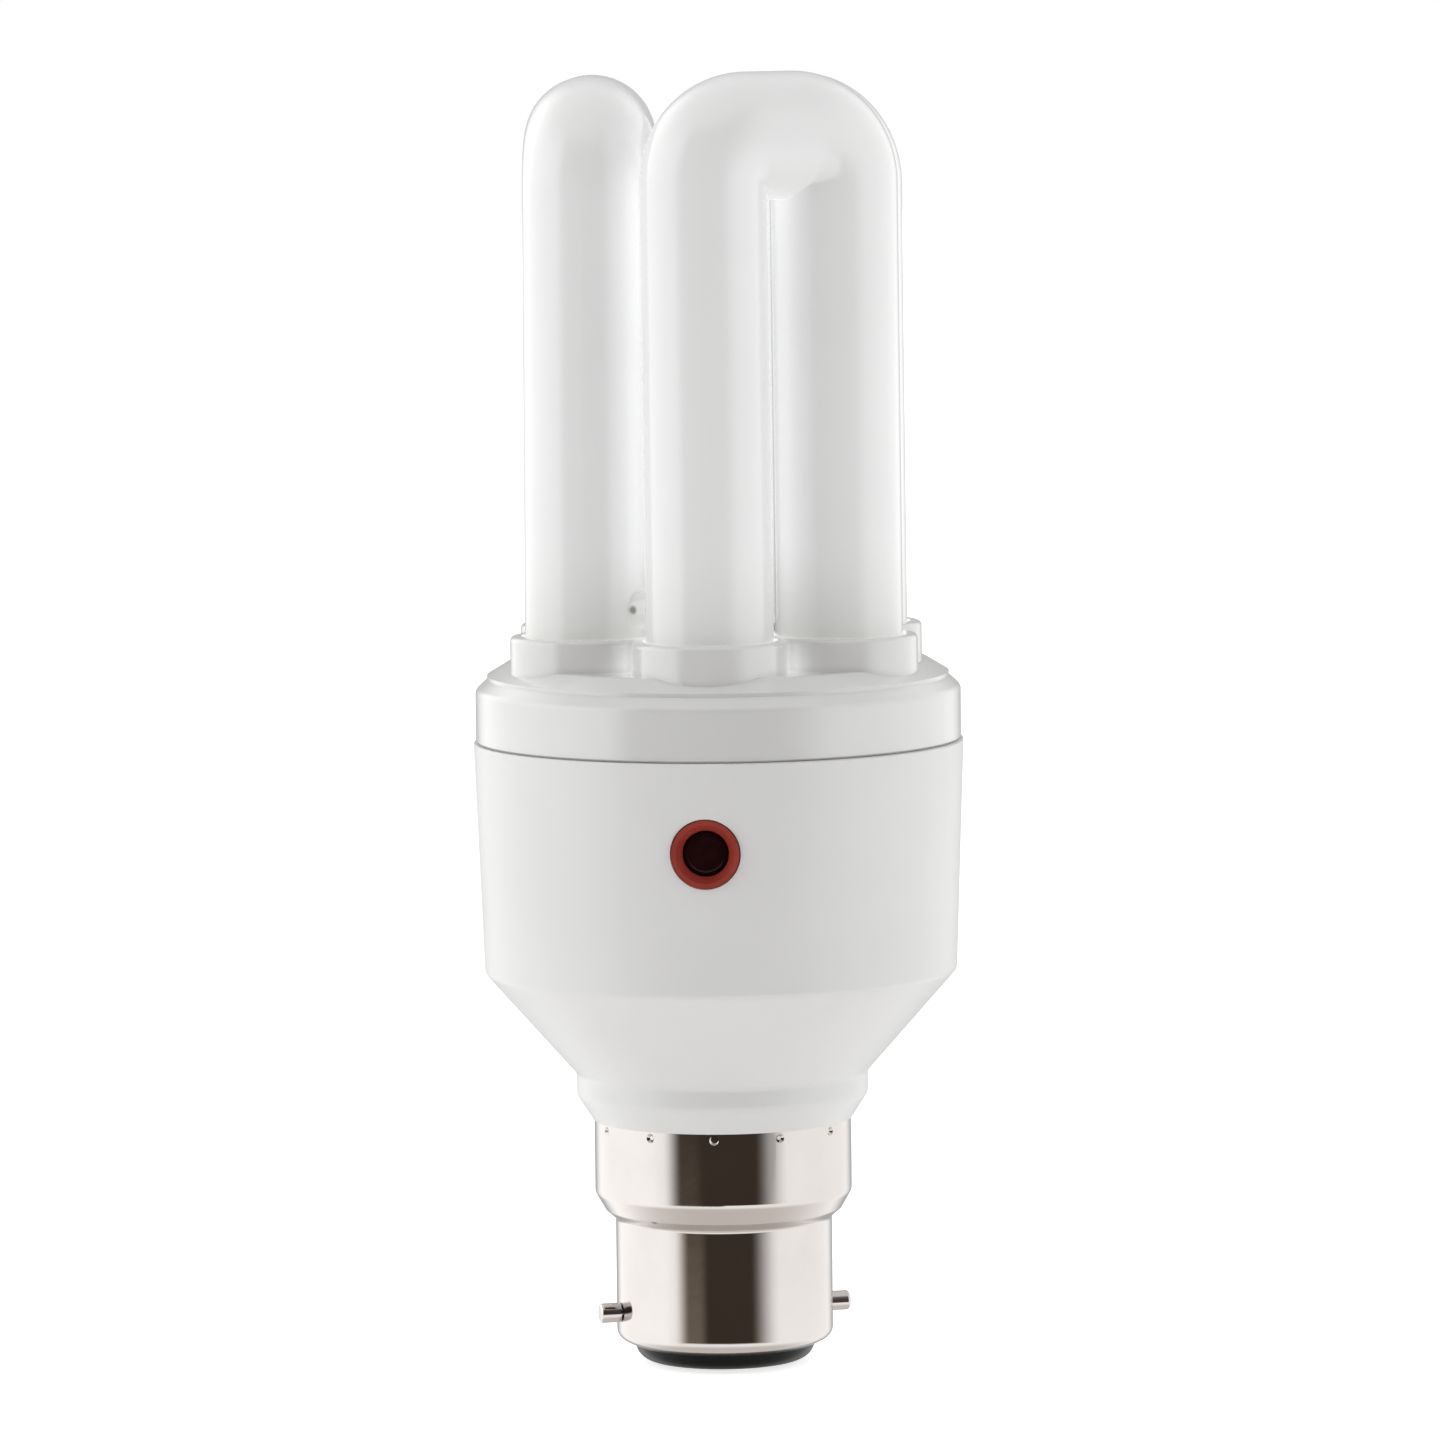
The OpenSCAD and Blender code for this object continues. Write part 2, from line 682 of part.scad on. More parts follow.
board_leads = concat(
    pair(bulk_place, bulk_pitch, 0),
    [for (p = film_places) each pair([p[0], p[1]], film_pitch, p[2])],
    choke_pins,
    [for (p = transistor_places) each [for (s = [-1:1]) [p[0], p[1] + s * transistor_pitch]]],
    [for (p = diode_places) each axial_leads(p, diode_size, 90)],
    [for (p = resistor_places) each axial_leads([p[0], p[1]], resistor_size, p[2])],
    axial_leads(fuse_place, fuse_size, 0)
);

// A straight lead that passes up through the board at this place
module board_lead(place) {
    translate([place[0], place[1], board_z])
        cylinder(h = board_h + tail_h, d = lead_d);
}

module circuit_board() {
    color([0.8, 0.68, 0.42]) difference() {
        translate([0, 0, board_z]) cylinder(h = board_h, r = board_r);
        for (place = board_leads) translate([place[0], place[1], board_z - 1])
            cylinder(h = board_h + 2, d = lead_d + 2 * hole_clearance);
        for (side = [-1, 1]) rotate([0, 0, sensor_angle])
            translate([side * sensor_pitch / 2, sensor_back_y + sensor_lead_run, board_z - 1])
                cylinder(h = board_h + 2, d = lead_d + 2 * hole_clearance);
    }
}

module bulk_capacitor() {
    r = bulk_size[0] / 2;
    h = bulk_size[1];
    groove_z = h - bulk_groove[2];
    color([0.12, 0.14, 0.2]) union() {
        translate([bulk_place[0], bulk_place[1], board_z - h])
            rotate_extrude() rounded_outline([
                [0, 0, 0], [r, 0, 0.6], [r, groove_z - bulk_groove[1], 0.3],
                [r - bulk_groove[0], groove_z - bulk_groove[1] / 2, 0.3], [r, groove_z, 0.3],
                [r, h, 0.6], [0, h, 0],
            ]);
        for (place = pair(bulk_place, bulk_pitch, 0)) board_lead(place);
    }
}

module film_capacitor(i) {
    place = film_places[i];
    color([0.62, 0.2, 0.12]) union() {
        translate([place[0], place[1], board_z - film_size[2]]) rotate([0, 0, place[2]])
            linear_extrude(film_size[2])
                rounded_block([film_size[0] * film_ratio[i], film_size[1]], film_size[1] / 5);
        for (p = pair([place[0], place[1]], film_pitch, place[2])) board_lead(p);
    }
}

// A rectangle about the origin with round corners
module rounded_block(size, r) {
    x = size[0] / 2;
    y = size[1] / 2;
    rounded_outline([[-x, -y, r], [x, -y, r], [x, y, r], [-x, y, r]]);
}

// The choke hangs from the board: a frame of ferrite with a middle leg, a bobbin on that leg
// and a winding on the bobbin

// Children at the choke's top, in the middle of its core
module at_choke() {
    translate([choke_place[0], choke_place[1], choke_top_z]) children();
}

module choke_core() {
    depth = 2 * choke_leg;
    color([0.2, 0.2, 0.21]) at_choke() difference() {
        translate([-choke_size[0] / 2, -depth / 2, -choke_size[2]])
            cube([choke_size[0], depth, choke_size[2]]);
        for (side = [-1, 1])
            translate([side * (choke_leg + choke_window_w) / 2 - choke_window_w / 2,
                -depth, -choke_leg - choke_window_h])
                cube([choke_window_w, 2 * depth, choke_window_h]);
    }
}

// A square-holed plate of the bobbin, its top at this depth under the core's top
module bobbin_plate(depth) {
    w = choke_leg + 2 * choke_window_w - 0.2;
    translate([-w / 2, -choke_size[1] / 2, -depth - bobbin_wall])
        cube([w, choke_size[1], bobbin_wall]);
}

module choke_bobbin() {
    tube = choke_leg + 2 * bobbin_wall;
    color([0.9, 0.88, 0.8]) at_choke() difference() {
        union() {
            bobbin_plate(choke_leg);
            bobbin_plate(choke_leg + choke_window_h - bobbin_wall);
            translate([-tube / 2, -choke_leg - bobbin_wall, -choke_leg - choke_window_h])
                cube([tube, 2 * choke_leg + 2 * bobbin_wall, choke_window_h]);
            // feet that carry the pins past the core
            for (side = [-1, 1]) translate([-(choke_pitch + bobbin_foot_w) / 2,
                side * (choke_size[1] - bobbin_foot_w) / 2 - bobbin_foot_w / 2,
                -choke_leg - bobbin_wall])
                cube([choke_pitch + bobbin_foot_w, bobbin_foot_w,
                    choke_leg + bobbin_wall + choke_gap]);
        }
        translate([-choke_leg / 2, -choke_leg, -choke_size[2]])
            cube([choke_leg, 2 * choke_leg, choke_size[2]]);
    }
    color([0.75, 0.75, 0.76]) for (place = choke_pins) board_lead(place);
}

module choke_winding() {
    inner = [choke_leg + 2 * bobbin_wall, 2 * choke_leg + 2 * bobbin_wall];
    outer = [choke_leg + 2 * choke_window_w - 0.4, choke_size[1] - 0.8];
    h = choke_window_h - 2 * bobbin_wall;
    color([0.7, 0.35, 0.15]) at_choke()
        translate([0, 0, -choke_leg - choke_window_h + bobbin_wall]) linear_extrude(h)
            difference() {
                rounded_block(outer, 1.4);
                square(inner, center = true);
            }
}

// The ring core stands on edge under the board, its axis along X
module at_ring() {
    translate([ring_place[0], ring_place[1], board_z - ring_size[0] / 2 - ring_wire])
        rotate([0, 90, 0]) children();
}

module ring_core() {
    x = ring_size[2] / 2;
    color([0.2, 0.3, 0.24]) at_ring() rotate_extrude() rounded_outline([
        [ring_size[1] / 2, -x, 0.4], [ring_size[0] / 2, -x, 0.4],
        [ring_size[0] / 2, x, 0.4], [ring_size[1] / 2, x, 0.4],
    ]);
}

// One of the three windings: turns of wire side by side round the ring, as one sleeve
module ring_winding(i) {
    middle = winding_middles[i];
    span = winding_spans[i];
    x = ring_size[2] / 2;
    color([[0.75, 0.15, 0.1], [0.15, 0.35, 0.15], [0.8, 0.6, 0.1]][i])
        at_ring() rotate([0, 0, middle - span / 2]) rotate_extrude(angle = span)
            difference() {
                rounded_outline([
                    [ring_size[1] / 2 - ring_wire, -x - ring_wire, 0.5],
                    [ring_size[0] / 2 + ring_wire, -x - ring_wire, 0.5],
                    [ring_size[0] / 2 + ring_wire, x + ring_wire, 0.5],
                    [ring_size[1] / 2 - ring_wire, x + ring_wire, 0.5],
                ]);
                rounded_outline([
                    [ring_size[1] / 2, -x, 0.4], [ring_size[0] / 2, -x, 0.4],
                    [ring_size[0] / 2, x, 0.4], [ring_size[1] / 2, x, 0.4],
                ]);
            }
}

// A transistor with its back towards the wall and three leads into the board
module transistor(i) {
    place = transistor_places[i];
    size = transistor_size;
    body_z = board_z - transistor_gap - size[2];
    hole_d = 0.4 * size[1];
    in_body = lead_d;
    color([0.1, 0.1, 0.11]) difference() {
        translate([place[0] - size[0] / 2, place[1] - size[1] / 2, body_z]) cube(size);
        translate([place[0] - size[0], place[1], body_z + hole_d])
            rotate([0, 90, 0]) cylinder(h = 2 * size[0], d = hole_d);
    }
    for (side = [-1:1]) translate([place[0], place[1] + side * transistor_pitch,
        board_z - transistor_gap - in_body])
        cylinder(h = transistor_gap + in_body + board_h + tail_h, d = lead_d);
}

// A small round part lying against the board, with one lead bent up at each end
module axial(place, size, angle) {
    r = size[0] / 2;
    reach = size[1] / 2 + lead_run;
    translate([place[0], place[1], board_z - r]) rotate([0, 0, angle]) {
        rotate([0, 90, 0]) translate([0, 0, -size[1] / 2]) rotate_extrude()
            rounded_outline([
                [0, 0, 0], [r, 0, 0.3], [r, size[1], 0.3], [0, size[1], 0],
            ]);
        for (side = [-1, 1])
            wire([[side * (size[1] / 2 - lead_d), 0, 0], [side * reach, 0, 0],
                [side * reach, 0, r + board_h + tail_h]], lead_d);
    }
}

// Where the bent leads of such a part pass through the board
function axial_leads(place, size, angle) = pair(place, size[1] + 2 * lead_run, angle);

module diode(i) {
    color([0.12, 0.12, 0.13]) axial(diode_places[i], diode_size, 90);
}

module resistor(i) {
    place = resistor_places[i];
    color([0.75, 0.6, 0.4]) axial([place[0], place[1]], resistor_size, place[2]);
}

module fuse_resistor() {
    color([0.35, 0.5, 0.4]) axial(fuse_place, fuse_size, 0);
}

module driver_chip() {
    stand = 0.5;
    leg_w = 0.5;
    color([0.1, 0.1, 0.1]) translate([chip_place[0], chip_place[1], board_top_z]) {
        translate([-chip_size[0] / 2, -chip_size[1] / 2, stand]) cube(chip_size);
        for (x = [-1.5:1.5]) for (side = [-1, 1])
            translate([x * chip_pitch - leg_w / 2, side * chip_size[1] / 2 - leg_w / 2, 0])
                cube([leg_w, leg_w, stand + chip_size[2] / 2]);
    }
}

// Wires from the glass

function electrode_angle(i) = leg_angles[electrode_legs[i]];

// The foot of wire i under its leg and the top of its post, as [x, y]
function wire_foot(i) = flat_point(electrode_angle(floor(i / 2)), leg_circle_r,
    (i % 2 * 2 - 1) * post_offset);
function wire_end(i) = flat_point(electrode_angle(floor(i / 2)), leg_circle_r + post_pull,
    (i % 2 * 2 - 1) * post_offset);
function flat_point(angle, distance, side) = [
    sin(angle) * distance + cos(angle) * side, -cos(angle) * distance + sin(angle) * side];

module tube_wire(i) {
    foot = wire_foot(i);
    end = wire_end(i);
    z = board_top_z + 0.7 * post_size[1];
    color([0.75, 0.75, 0.76]) difference() {
        wire([[foot[0], foot[1], leg_end_z], [foot[0], foot[1], z], [end[0], end[1], z]],
            tube_wire_d);
        post_outline(i);
    }
}

module post_outline(i) {
    end = wire_end(i);
    translate([end[0], end[1], board_top_z]) rotate([0, 0, electrode_angle(floor(i / 2))])
        translate([-post_size[0] / 2, -post_size[0] / 2, 0])
            cube([post_size[0], post_size[0], post_size[1]]);
}

module wire_post(i) {
    color([0.75, 0.7, 0.55]) post_outline(i);
}

discharge_tube();
top_cover();
lower_housing();
sensor_bezel();
light_sensor();
sensor_lead(-1);  // sensor_lead_1
sensor_lead(1);  // sensor_lead_2
cap_shell();
cap_insulator();
contact(0);  // contact_1
contact(180);  // contact_2
bayonet_pin(0);  // bayonet_pin_1
bayonet_pin(180);  // bayonet_pin_2
circuit_board();
bulk_capacitor();
film_capacitor(0);  // film_capacitor_1
film_capacitor(1);  // film_capacitor_2
choke_core();
choke_bobbin();
choke_winding();
ring_core();
ring_winding(0);  // ring_winding_1
ring_winding(1);  // ring_winding_2
ring_winding(2);  // ring_winding_3
transistor(0);  // transistor_1
transistor(1);  // transistor_2
diode(0);  // diode_1
diode(1);  // diode_2
diode(2);  // diode_3
diode(3);  // diode_4
resistor(0);  // resistor_1
resistor(1);  // resistor_2
resistor(2);  // resistor_3
fuse_resistor();
driver_chip();
mains_lead(0);  // mains_lead_1
mains_lead(180);  // mains_lead_2
tube_wire(0);  // tube_wire_1
tube_wire(1);  // tube_wire_2
tube_wire(2);  // tube_wire_3
tube_wire(3);  // tube_wire_4
wire_post(0);  // wire_post_1
wire_post(1);  // wire_post_2
wire_post(2);  // wire_post_3
wire_post(3);  // wire_post_4
tube_cement(0);  // tube_cement_1
tube_cement(1);  // tube_cement_2
tube_cement(2);  // tube_cement_3
tube_cement(3);  // tube_cement_4
tube_cement(4);  // tube_cement_5
tube_cement(5);  // tube_cement_6
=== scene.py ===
# Looks of the compact fluorescent lamp: materials, light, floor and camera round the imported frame.
import json

from math import pi, radians

import bpy
from mathutils import Matrix

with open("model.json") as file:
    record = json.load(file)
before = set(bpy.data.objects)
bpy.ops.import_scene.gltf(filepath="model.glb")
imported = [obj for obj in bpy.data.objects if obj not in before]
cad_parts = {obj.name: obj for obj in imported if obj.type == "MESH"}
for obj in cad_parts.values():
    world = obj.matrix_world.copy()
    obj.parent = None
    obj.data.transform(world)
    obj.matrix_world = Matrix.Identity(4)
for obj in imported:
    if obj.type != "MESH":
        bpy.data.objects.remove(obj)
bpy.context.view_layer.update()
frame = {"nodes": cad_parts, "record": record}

# Camera
camera_distance = 0.87
camera_height = 0.15053
camera_pitch = radians(5.594)
camera_roll = radians(-0.638)
camera_side = 0.00016
focal_pixels = 8640
picture_pixels = 1440
sensor_mm = 36.0

# Light: a bright room with a dark gap behind the camera. Angles to the sides are counted from
# the front, heights are sines of the angle above the lamp's foot
background = (1.0, 1.0, 1.0)
room_colour = (1.0, 0.997, 0.992)
room_light = 1.30
left_light = 1.47
right_light = 1.31
box_light = 1.78
back_light = 0.50
back_fill = 0.50
sky_light = 0.85
side_edge = (radians(50), radians(70))
box_height = (-0.05, 0.15)
sky_edge = (0.45, 0.90)
gap_colour = (0.055, 0.040, 0.030)
gap_fill = (0.17, 0.165, 0.16)
half_colour = (0.23, 0.19, 0.15)
gap_right = (radians(28), radians(62))
gap_half = (radians(16), radians(28))
gap_half_height = (-0.162, -0.154)
gap_left = (radians(38), radians(56))
gap_top = (0.60, 0.92)
gap_bottom = (-0.42, -0.26)
back_edge = (radians(140), radians(168))
back_fill_edge = (radians(100), radians(160))
ground_edge = (-0.92, -0.50)
ground_colour = (0.82, 0.765, 0.73)
paper_white = 0.84
paper_lift = 0.5
paper_glow = 0.25

# Painted glow on the glass and the cover where their parts stand close, a dark spot on the glass,
# and painted shade in tight corners of the cover
glass_reach = 0.007
glass_glow = (0.07, 0.36)
glass_foot = (0.0715, 0.085)
glass_foot_share = 0.50
glass_foot_colour = (0.76, 0.76, 0.74)
cover_reach = 0.004
cover_glow = (0.0, 0.48)
cover_foot = (0.0676, 0.0684)
mark_place = (-0.0084, -0.01195, 0.0776)
mark_edge = (0.0002, 0.0006)
mark_colour = (0.26, 0.26, 0.23)
# Painted shade in tight corners: how far a corner reaches and its darker colour
corner_reach = 0.0007
corner_shade_colour = (0.42, 0.42, 0.41)


def new_material(name):
    """A material with a Principled surface; returns it with its node tree and that node."""
    material = bpy.data.materials.new(name)
    material.use_nodes = True
    tree = material.node_tree
    return material, tree, tree.nodes["Principled BSDF"]


def put(tree, kind, **inputs):
    """Adds a node and sets its inputs by name."""
    node = tree.nodes.new(kind)
    for key, value in inputs.items():
        node.inputs[key.replace("_", " ")].default_value = value
    return node


def object_noise(tree, scale, detail=3.0, roughness=0.5, stretch=(1, 1, 1)):
    """Noise in the object's own metres, stretched along the axes."""
    place = tree.nodes.new("ShaderNodeTexCoord")
    mapping = tree.nodes.new("ShaderNodeMapping")
    mapping.inputs["Scale"].default_value = stretch
    noise = put(tree, "ShaderNodeTexNoise", Scale=scale, Detail=detail, Roughness=roughness)
    tree.links.new(place.outputs["Object"], mapping.inputs["Vector"])
    tree.links.new(mapping.outputs["Vector"], noise.inputs["Vector"])
    return noise


def ramp(tree, source, low, high, start=0.35, end=0.65):
    """Maps a value onto a blend of two colours."""
    node = tree.nodes.new("ShaderNodeValToRGB")
    node.color_ramp.elements[0].position = start
    node.color_ramp.elements[0].color = (*low, 1)
    node.color_ramp.elements[1].position = end
    node.color_ramp.elements[1].color = (*high, 1)
    tree.links.new(source, node.inputs["Fac"])
    return node


def spread(tree, source, low, high):
    """Maps a value from 0..1 onto a range."""
    node = tree.nodes.new("ShaderNodeMapRange")
    node.inputs["To Min"].default_value = low
    node.inputs["To Max"].default_value = high
    tree.links.new(source, node.inputs["Value"])
    return node


def bump(tree, shader, height, strength, distance):
    """A bump from a height value on the shader's normal."""
    node = put(tree, "ShaderNodeBump", Strength=strength, Distance=distance)
    tree.links.new(height, node.inputs["Height"])
    tree.links.new(node.outputs["Normal"], shader.inputs["Normal"])
    return node


def math_node(tree, operation, first, second=None):
    """A Math node on one or two sources, each a socket or a number."""
    node = tree.nodes.new("ShaderNodeMath")
    node.operation = operation
    for socket, source in zip(node.inputs, (first, second)):
        if isinstance(source, (int, float)):
            socket.default_value = source
        elif source is not None:
            tree.links.new(source, socket)
    return node.outputs[0]


def smooth_step(tree, source, low, high):
    """0 below low, 1 above high and a smooth rise between."""
    node = tree.nodes.new("ShaderNodeMapRange")
    node.interpolation_type = "SMOOTHSTEP"
    node.inputs["From Min"].default_value = low
    node.inputs["From Max"].default_value = high
    tree.links.new(source, node.inputs["Value"])
    return node.outputs["Result"]


def blend(tree, share, first, second):
    """Goes from one colour to another; each is a socket or three numbers."""
    node = tree.nodes.new("ShaderNodeMix")
    node.data_type = "RGBA"
    tree.links.new(share, node.inputs["Factor"])
    for socket, source in ((node.inputs["A"], first), (node.inputs["B"], second)):
        if isinstance(source, tuple):
            socket.default_value = (*source, 1)
        else:
            tree.links.new(source, socket)
    return node.outputs["Result"]


def mottled(name, low, high, scale, rough, grain, grain_depth, coat=0.0, metallic=0.0,
            stretch=(1, 1, 1), ior=1.5):
    """A surface with a slight change of colour and roughness and a fine grain."""
    material, tree, shader = new_material(name)
    patches = object_noise(tree, scale, stretch=stretch)
    colour = ramp(tree, patches.outputs["Fac"], low, high)
    tree.links.new(colour.outputs["Color"], shader.inputs["Base Color"])
    roughness = spread(tree, patches.outputs["Fac"], *rough)
    tree.links.new(roughness.outputs["Result"], shader.inputs["Roughness"])
    shader.inputs["Metallic"].default_value = metallic
    shader.inputs["IOR"].default_value = ior
    shader.inputs["Coat Weight"].default_value = coat
    fine = object_noise(tree, grain, detail=2.0, stretch=stretch)
    bump(tree, shader, fine.outputs["Fac"], 1.0, grain_depth)
    return material


def painted_crevice_glow(material, reach, glow, foot, foot_share=0.0, foot_colour=None):
    """A glow painted on a pale surface, strongest where its parts stand close together: painted
    light in place of the light that fills such crevices.

    Towards its foot, between two heights, only a share of that painted glow stays, and the colour
    goes over to the foot's colour.
    """
    tree = material.node_tree
    shader = tree.nodes["Principled BSDF"]
    # Painted light: a white glow, strongest where the surface is closed in by its neighbours
    open_side = tree.nodes.new("ShaderNodeAmbientOcclusion")
    open_side.samples = 8
    open_side.inputs["Distance"].default_value = reach
    closed = math_node(tree, "SUBTRACT", 1.0, open_side.outputs["AO"])
    closed = math_node(tree, "MULTIPLY", closed, closed)
    light = spread(tree, closed, *glow).outputs["Result"]
    place = tree.nodes.new("ShaderNodeTexCoord")
    split = tree.nodes.new("ShaderNodeSeparateXYZ")
    tree.links.new(place.outputs["Object"], split.inputs[0])
    above = smooth_step(tree, split.outputs["Z"], *foot)
    share = spread(tree, above, foot_share, 1.0).outputs["Result"]
    light = math_node(tree, "MULTIPLY", light, share)
    if foot_colour:
        colour = shader.inputs["Base Color"].links[0].from_socket
        tree.links.new(blend(tree, above, foot_colour, colour), shader.inputs["Base Color"])
    shader.inputs["Emission Color"].default_value = (1, 1, 1, 1)
    tree.links.new(light, shader.inputs["Emission Strength"])
    return material


def painted_corner_shade(material):
    """Paints shade into the tight corners of a surface: they get a darker colour."""
    tree = material.node_tree
    shader = tree.nodes["Principled BSDF"]
    # Painted shade: tight corners get a darker colour
    open_side = tree.nodes.new("ShaderNodeAmbientOcclusion")
    open_side.samples = 8
    open_side.inputs["Distance"].default_value = corner_reach
    colour = shader.inputs["Base Color"].links[0].from_socket
    tree.links.new(blend(tree, open_side.outputs["AO"], corner_shade_colour, colour),
                   shader.inputs["Base Color"])
    return material


def spotted(material):
    """A small dark spot on the glass at a given place; the glow is taken away there too."""
    tree = material.node_tree
    shader = tree.nodes["Principled BSDF"]
    place = tree.nodes.new("ShaderNodeTexCoord")
    away = tree.nodes.new("ShaderNodeVectorMath")
    away.operation = "DISTANCE"
    away.inputs[1].default_value = mark_place
    tree.links.new(place.outputs["Object"], away.inputs[0])
    outside = smooth_step(tree, away.outputs["Value"], *mark_edge)
    colour = shader.inputs["Base Color"].links[0].from_socket
    light = shader.inputs["Emission Strength"].links[0].from_socket
    tree.links.new(blend(tree, outside, mark_colour, colour), shader.inputs["Base Color"])
    tree.links.new(math_node(tree, "MULTIPLY", light, outside),
                   shader.inputs["Emission Strength"])
    return material


materials = {
    # The glass gets a painted glow where its tubes stand close together
    "white_glass": spotted(painted_crevice_glow(
        mottled("white_glass", (0.84, 0.845, 0.845), (0.86, 0.865, 0.865), 60,
                (0.05, 0.09), 300, 0.000002, coat=0.5),
        glass_reach, glass_glow, glass_foot, glass_foot_share, glass_foot_colour)),
    "white_plastic": mottled("white_plastic", (0.795, 0.795, 0.787), (0.815, 0.815, 0.807), 90,
                             (0.28, 0.34), 2500, 0.000003),
    # The cover gets a painted glow where its parts stand close, and painted shade in its tight
    # corners
    "cover_plastic": painted_corner_shade(painted_crevice_glow(
        mottled("cover_plastic", (0.74, 0.74, 0.732), (0.76, 0.76, 0.752), 90,
                (0.07, 0.11), 900, 0.000002, coat=0.6, ior=1.7),
        cover_reach, cover_glow, cover_foot)),
    "red_plastic": mottled("red_plastic", (0.30, 0.035, 0.02), (0.36, 0.045, 0.03), 400,
                           (0.25, 0.35), 3000, 0.000003),
    "sensor_window": mottled("sensor_window", (0.012, 0.003, 0.004), (0.02, 0.004, 0.005), 900,
                             (0.06, 0.12), 3000, 0.000001, ior=1.25),
    "nickel_plate": mottled("nickel_plate", (0.60, 0.57, 0.55), (0.63, 0.60, 0.58), 150,
                            (0.06, 0.10), 700, 0.0000015, metallic=1.0),
    "black_glass": mottled("black_glass", (0.004, 0.004, 0.004), (0.006, 0.007, 0.006), 300,
                           (0.10, 0.18), 900, 0.000004, ior=1.22),
    "solder": mottled("solder", (0.55, 0.55, 0.56), (0.66, 0.66, 0.67), 900,
                      (0.22, 0.38), 2500, 0.00001, metallic=1.0),
    "board": mottled("board", (0.42, 0.28, 0.12), (0.48, 0.33, 0.15), 200, (0.5, 0.6), 1500,
                     0.000006),
    "capacitor_sleeve": mottled("capacitor_sleeve", (0.010, 0.013, 0.03),
                                (0.014, 0.018, 0.04), 200, (0.25, 0.3), 900, 0.000004),
    "film_body": mottled("film_body", (0.30, 0.04, 0.02), (0.35, 0.05, 0.025), 250,
                         (0.2, 0.3), 1200, 0.000006),
    "ferrite": mottled("ferrite", (0.03, 0.03, 0.032), (0.045, 0.045, 0.048), 900,
                       (0.5, 0.7), 2500, 0.00001),
    "bobbin_plastic": mottled("bobbin_plastic", (0.72, 0.69, 0.60), (0.76, 0.73, 0.64), 200,
                              (0.4, 0.5), 1500, 0.000004),
    "copper_winding": mottled("copper_winding", (0.42, 0.14, 0.04), (0.52, 0.18, 0.05), 600,
                              (0.2, 0.35), 4000, 0.00002, metallic=0.6, stretch=(1, 1, 4)),
    "winding_red": mottled("winding_red", (0.45, 0.02, 0.01), (0.52, 0.03, 0.015), 500,
                           (0.25, 0.35), 2500, 0.00001),
    "winding_green": mottled("winding_green", (0.02, 0.09, 0.02), (0.03, 0.12, 0.03), 500,
                             (0.25, 0.35), 2500, 0.00001),
    "winding_yellow": mottled("winding_yellow", (0.55, 0.32, 0.01), (0.62, 0.37, 0.015), 500,
                              (0.25, 0.35), 2500, 0.00001),
    "black_epoxy": mottled("black_epoxy", (0.010, 0.010, 0.011), (0.016, 0.016, 0.017), 700,
                           (0.45, 0.6), 3000, 0.000006),
    "resistor_body": mottled("resistor_body", (0.50, 0.33, 0.14), (0.55, 0.37, 0.16), 500,
                             (0.3, 0.4), 2500, 0.000005),
    "fuse_body": mottled("fuse_body", (0.10, 0.21, 0.13), (0.12, 0.24, 0.15), 500, (0.4, 0.5),
                         2500, 0.000008),
    "lead_sleeve": mottled("lead_sleeve", (0.02, 0.03, 0.25), (0.025, 0.035, 0.28), 300,
                           (0.3, 0.4), 1500, 0.000004),
    "cement": mottled("cement", (0.66, 0.62, 0.53), (0.72, 0.68, 0.60), 300, (0.7, 0.85), 1500,
                      0.00003),
}


# Pieces with a finish of their own; the cover's finish also carries a painted glow and painted
# corner shade
finishes = {"top_cover": "cover_plastic"}


def dress_frame():
    """Gives each CAD node the material of its slot."""
    slots = {p["node"]: p["material_slot"] for p in frame["record"]["subparts"]}
    for node, piece in frame["nodes"].items():
        piece.data.materials.clear()
        piece.data.materials.append(materials[finishes.get(node, slots[node])])


def floor_material():
    """Paper that keeps the lamp's shadow and looks white. Mirrors see the room through it."""
    material = bpy.data.materials.new("paper")
    material.use_nodes = True
    tree = material.node_tree
    tree.nodes.clear()
    path = tree.nodes.new("ShaderNodeLightPath")
    paper = put(tree, "ShaderNodeBsdfDiffuse", Color=(paper_white, paper_white, paper_white, 1))
    lift = put(tree, "ShaderNodeEmission", Color=(1, 1, 1, 1))
    seen = math_node(tree, "MULTIPLY", path.outputs["Is Camera Ray"], paper_lift)
    tree.links.new(math_node(tree, "ADD", seen, paper_glow), lift.inputs["Strength"])
    both = tree.nodes.new("ShaderNodeAddShader")
    clear = tree.nodes.new("ShaderNodeBsdfTransparent")
    mix = tree.nodes.new("ShaderNodeMixShader")
    out = tree.nodes.new("ShaderNodeOutputMaterial")
    tree.links.new(paper.outputs[0], both.inputs[0])
    tree.links.new(lift.outputs[0], both.inputs[1])
    tree.links.new(path.outputs["Is Glossy Ray"], mix.inputs["Fac"])
    tree.links.new(both.outputs[0], mix.inputs[1])
    tree.links.new(clear.outputs[0], mix.inputs[2])
    tree.links.new(mix.outputs[0], out.inputs["Surface"])
    return material


def add_floor():
    bpy.ops.mesh.primitive_plane_add(size=6, location=(0, 0, -0.0002))
    floor = bpy.context.object
    floor.name = "floor"
    floor.data.materials.append(floor_material())


def tone(light):
    """The room's colour at a strength."""
    return tuple(light * c for c in room_colour)


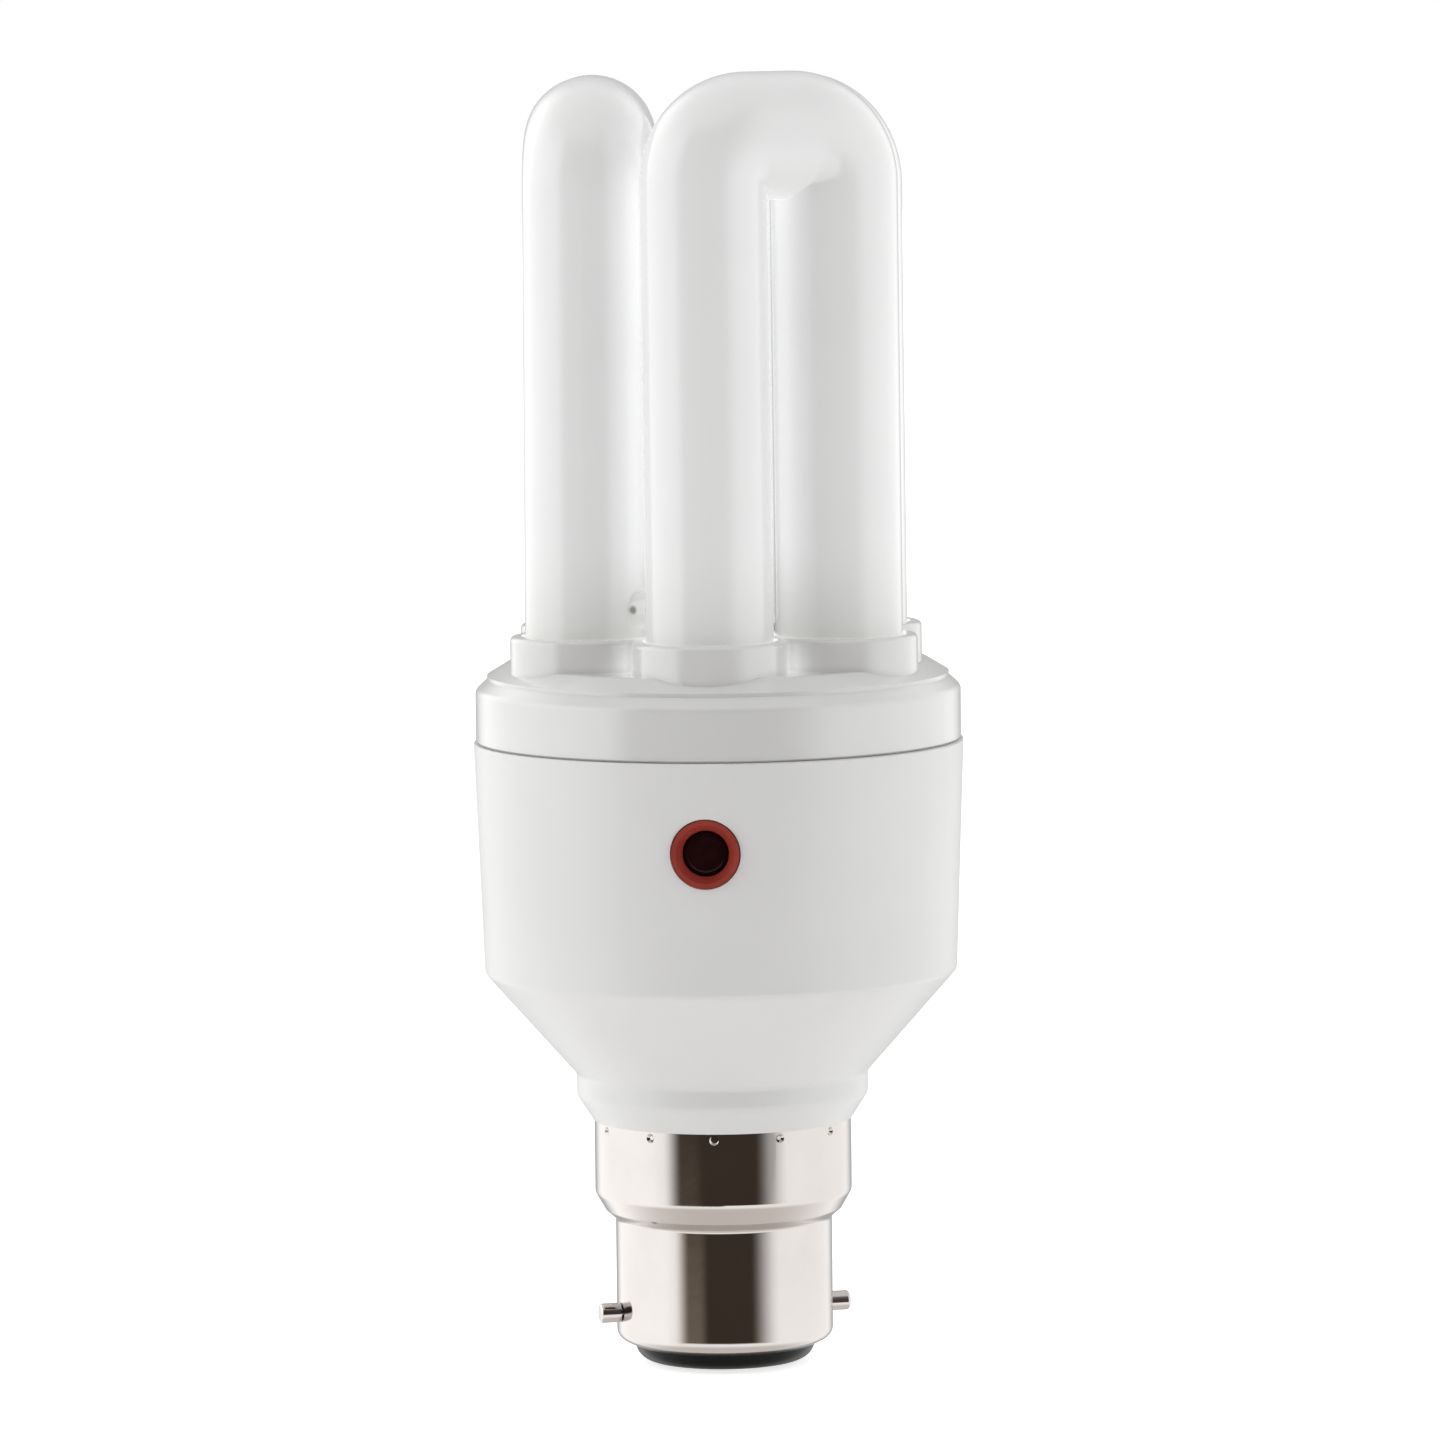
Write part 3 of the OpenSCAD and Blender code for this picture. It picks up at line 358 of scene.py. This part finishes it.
def add_light():
    """A white room with a dark gap behind the camera, between two tall soft boxes."""
    world = bpy.data.worlds.new("room")
    bpy.context.scene.world = world
    world.use_nodes = True
    tree = world.node_tree
    tree.nodes.clear()
    place = tree.nodes.new("ShaderNodeTexCoord")
    split = tree.nodes.new("ShaderNodeSeparateXYZ")
    tree.links.new(place.outputs["Generated"], split.inputs[0])
    path = tree.nodes.new("ShaderNodeLightPath")
    height = split.outputs["Z"]
    toward = math_node(tree, "MULTIPLY", split.outputs["Y"], -1.0)
    side = math_node(tree, "ARCTAN2", split.outputs["X"], toward)
    other_side = math_node(tree, "MULTIPLY", side, -1.0)
    right = smooth_step(tree, side, *gap_right)
    left = smooth_step(tree, other_side, *gap_left)
    above = smooth_step(tree, height, *gap_top)
    below = math_node(tree, "SUBTRACT", 1.0, smooth_step(tree, height, *gap_bottom))
    lit = math_node(tree, "MAXIMUM", math_node(tree, "MAXIMUM", left, right),
                    math_node(tree, "MAXIMUM", above, below))
    any_side = math_node(tree, "ABSOLUTE", side)
    glossy = path.outputs["Is Glossy Ray"]
    mirrored_back = math_node(tree, "MULTIPLY", smooth_step(tree, any_side, *back_edge), glossy)
    filled_back = math_node(tree, "MULTIPLY", smooth_step(tree, any_side, *back_fill_edge),
                            math_node(tree, "SUBTRACT", 1.0, glossy))
    ground = math_node(tree, "SUBTRACT", 1.0, smooth_step(tree, height, *ground_edge))
    on_left = smooth_step(tree, other_side, *side_edge)
    on_right = smooth_step(tree, side, *side_edge)
    box = math_node(tree, "MULTIPLY", on_left, smooth_step(tree, height, *box_height))
    walls = blend(tree, on_left, tone(room_light), tone(left_light))
    walls = blend(tree, on_right, walls, tone(right_light))
    walls = blend(tree, box, walls, tone(box_light))
    walls = blend(tree, mirrored_back, walls, tone(back_light))
    walls = blend(tree, filled_back, walls, tone(back_fill))
    walls = blend(tree, smooth_step(tree, height, *sky_edge), walls, tone(sky_light))
    walls = blend(tree, ground, walls, ground_colour)
    low = math_node(tree, "SUBTRACT", 1.0, smooth_step(tree, height, *gap_half_height))
    half = math_node(tree, "MULTIPLY", low, smooth_step(tree, other_side, *gap_half))
    gap = blend(tree, half, gap_colour, half_colour)
    gap = blend(tree, glossy, gap_fill, gap)
    glow = blend(tree, lit, gap, walls)
    room = put(tree, "ShaderNodeBackground", Strength=1.0)
    tree.links.new(glow, room.inputs["Color"])
    white = put(tree, "ShaderNodeBackground", Color=(*background, 1), Strength=1.0)
    mix = tree.nodes.new("ShaderNodeMixShader")
    out = tree.nodes.new("ShaderNodeOutputWorld")
    tree.links.new(path.outputs["Is Camera Ray"], mix.inputs["Fac"])
    tree.links.new(room.outputs[0], mix.inputs[1])
    tree.links.new(white.outputs[0], mix.inputs[2])
    tree.links.new(mix.outputs[0], out.inputs["Surface"])


def add_camera():
    """A long lens a little above the lamp, pitched down."""
    data = bpy.data.cameras.new("camera")
    data.sensor_width = sensor_mm
    data.lens = sensor_mm * focal_pixels / picture_pixels
    data.clip_start = 0.05
    data.clip_end = 20
    camera = bpy.data.objects.new("camera", data)
    bpy.context.scene.collection.objects.link(camera)
    turn = (Matrix.Rotation(pi / 2 - camera_pitch, 4, "X")
            @ Matrix.Rotation(camera_roll, 4, "Z"))
    camera.matrix_world = Matrix.Translation(
        (camera_side, -camera_distance, camera_height)) @ turn
    bpy.context.scene.camera = camera


dress_frame()
add_floor()
add_light()
add_camera()
scene = bpy.context.scene
scene.view_settings.view_transform = "Standard"
